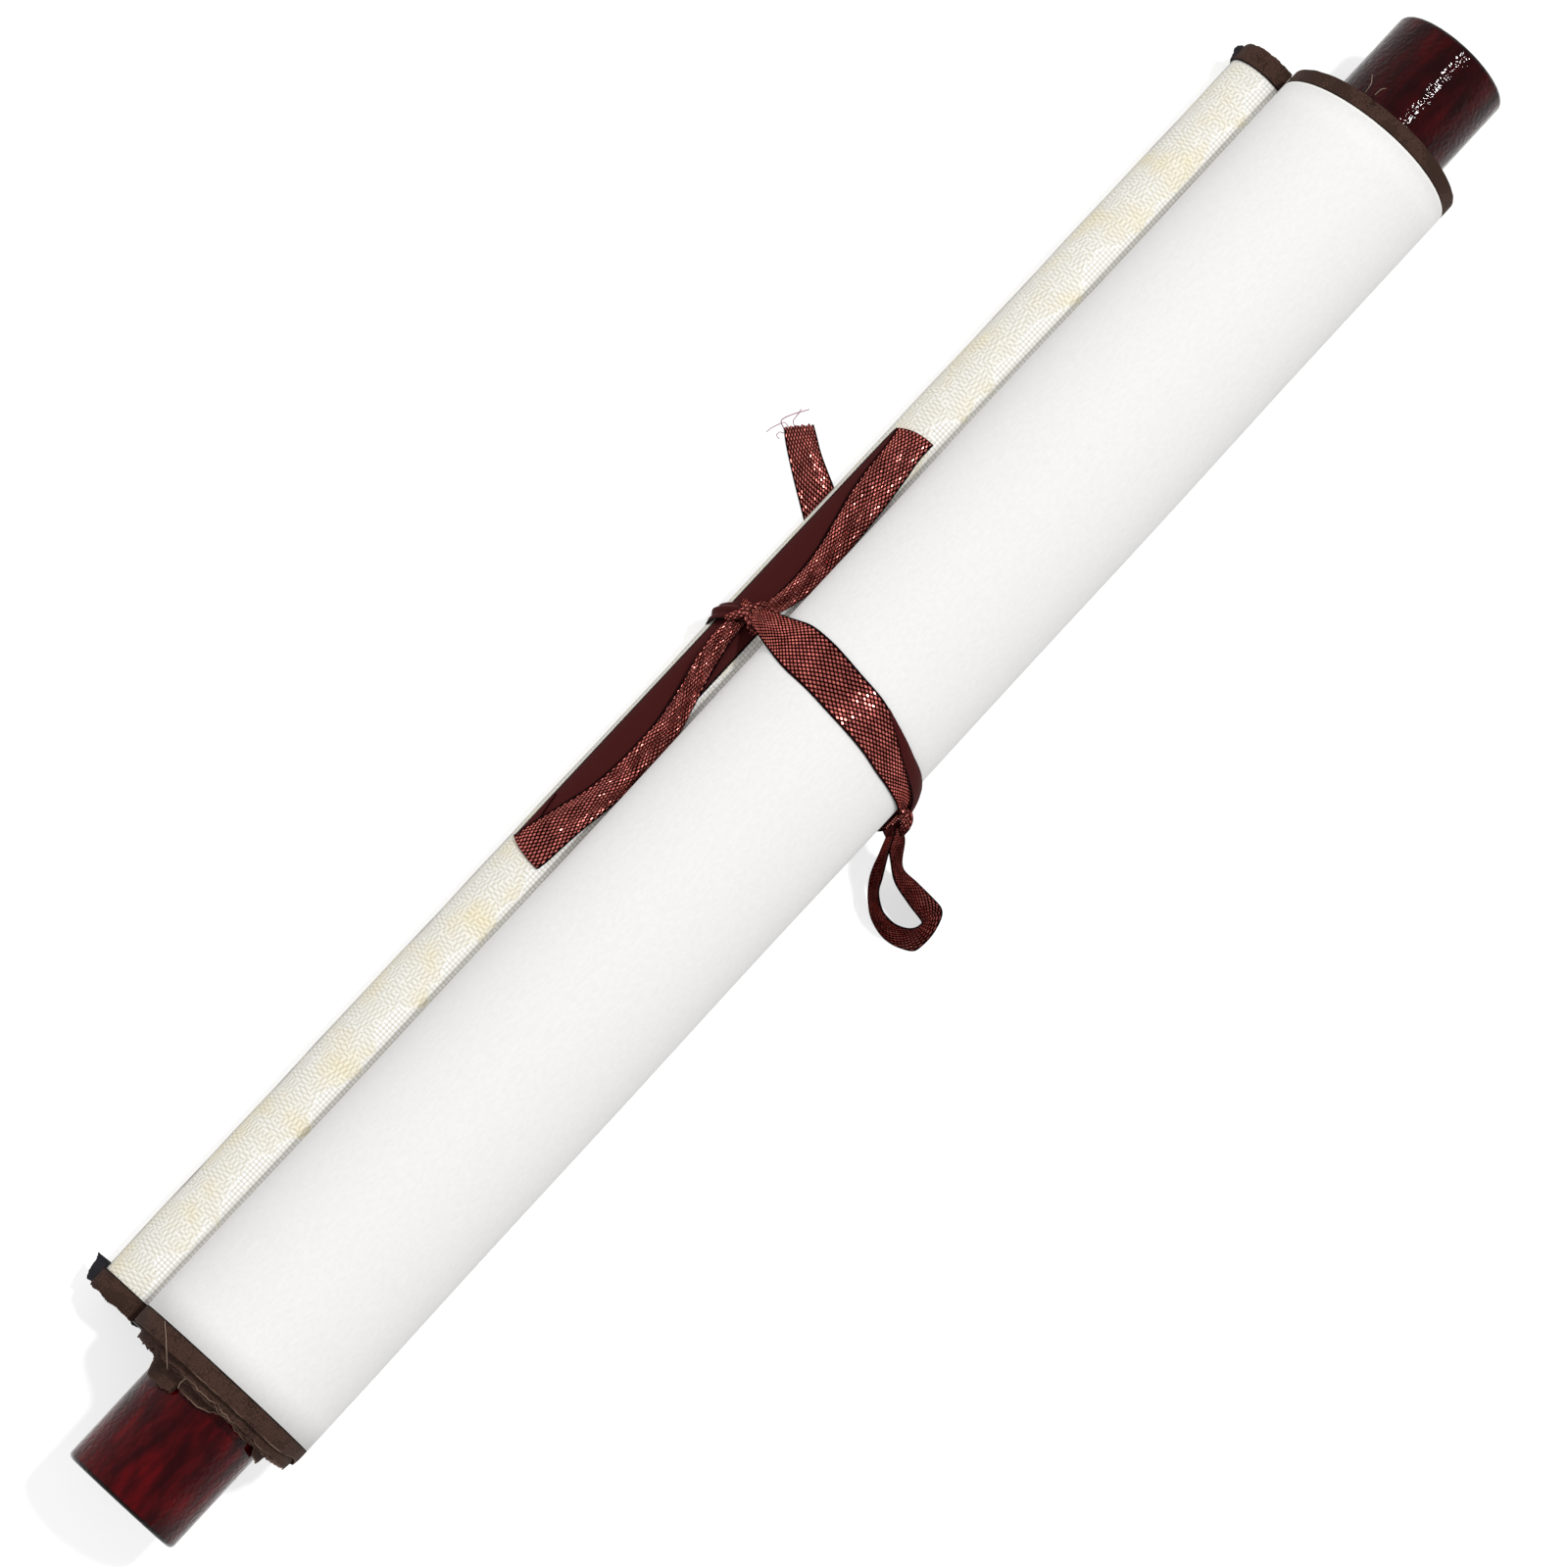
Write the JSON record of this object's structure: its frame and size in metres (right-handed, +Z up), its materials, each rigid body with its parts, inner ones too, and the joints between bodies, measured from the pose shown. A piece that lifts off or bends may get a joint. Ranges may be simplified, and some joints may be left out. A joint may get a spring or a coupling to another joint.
{
  "type": "rolled hanging scroll",
  "caption": "Blank paper hanging scroll wound on a wooden roller with turned lacquered knobs, its brocade-wrapped top stave alongside, tied round the middle with a flat satin ribbon.",
  "frame": {"origin": "on the surface it lies on, under the middle of its bounding box", "axes": "+X along the roller towards its clean, untorn end, +Y from the roll towards the top stave, +Z up"},
  "size_m": [0.4084, 0.091, 0.0426],
  "materials": {
    "plain_wood": "sanded, uncoated",
    "lacquered_wood": "dark red and black lacquer, high gloss",
    "backing_paper": "matte backing paper, faint fibres",
    "binding_paper": "matte dark brown paper, frayed edges",
    "brocade": "woven cream brocade, soft sheen",
    "satin": "maroon satin ribbon, glossy face and matte back"
  },
  "bodies": {
    "root": {"roller_rod": "plain_wood", "near_knob": "lacquered_wood", "far_knob": "lacquered_wood", "scroll_sheet": "backing_paper", "near_edge_binding": "binding_paper", "far_edge_binding": "binding_paper", "top_stave": "plain_wood", "stave_brocade": "brocade", "near_stave_cap": "binding_paper", "far_stave_cap": "binding_paper", "hanging_ribbon": "satin", "tie_ribbon": "satin"}
  },
  "joints": []
}
